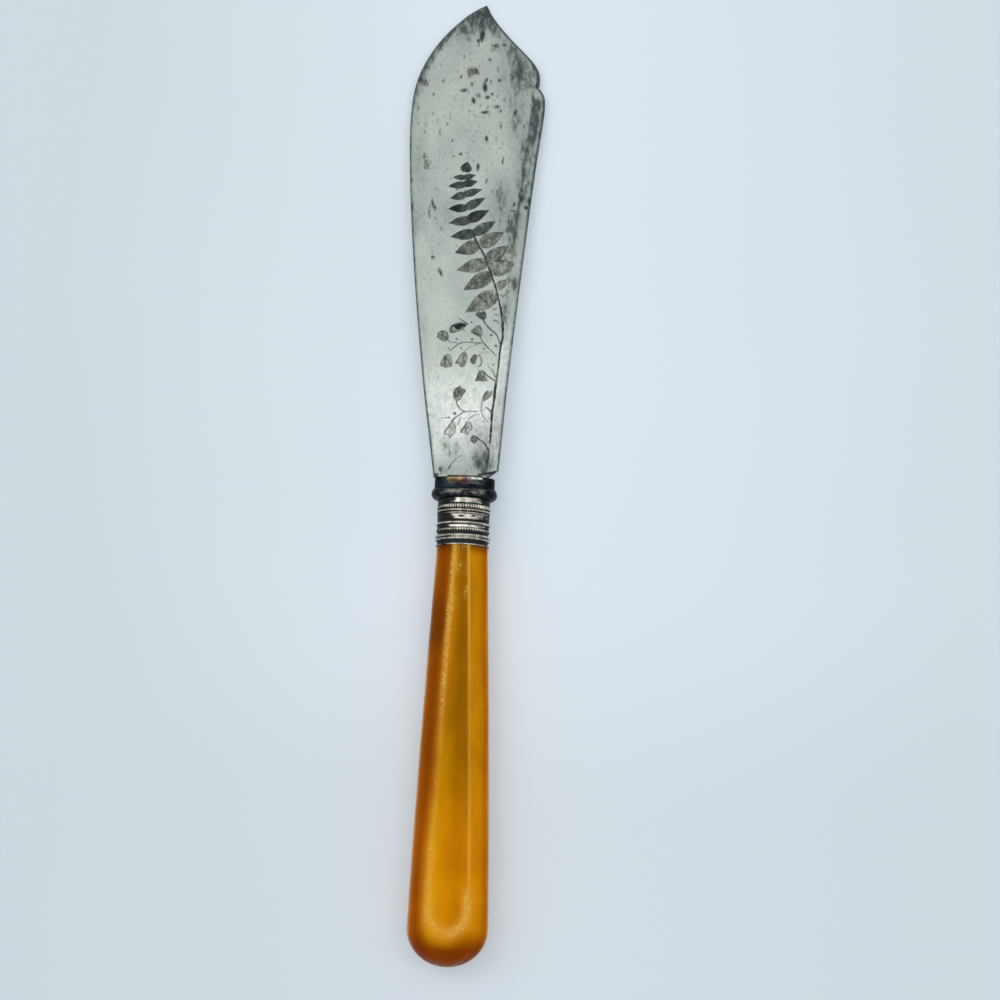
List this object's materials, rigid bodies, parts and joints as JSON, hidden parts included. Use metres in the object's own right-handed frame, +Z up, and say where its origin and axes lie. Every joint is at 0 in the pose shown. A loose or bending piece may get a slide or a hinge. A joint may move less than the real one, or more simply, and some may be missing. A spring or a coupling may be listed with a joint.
{
  "type": "fish knife",
  "caption": "Table fish knife with a notched, engraved plated blade, a rolled flange, a beaded silver ferrule and a canted amber handle.",
  "frame": {"origin": "middle of the knife's bounding box at its bottom, on the table plane", "axes": "+Y along the knife towards the blade's point, +X towards the notched back, +Z up out of the engraved face"},
  "size_m": [0.0304, 0.2162, 0.0109],
  "materials": {
    "plated_blade": "worn silver plate with engraving and tarnish",
    "dark_bolster": "oxidised plate, worn through to brass and copper at the neck",
    "hard_solder": "bare hard solder",
    "tang_iron": "dull forged",
    "ferrule_silver": "polished silver with dark oxide in the grooves",
    "amber_handle": "polished translucent honey celluloid or horn",
    "resin_cement": "set resin"
  },
  "bodies": {
    "root": {"blade": "plated_blade", "bolster": "dark_bolster", "solder": "hard_solder", "tang": "tang_iron", "ferrule": "ferrule_silver", "handle": "amber_handle", "cement": "resin_cement"}
  },
  "joints": []
}
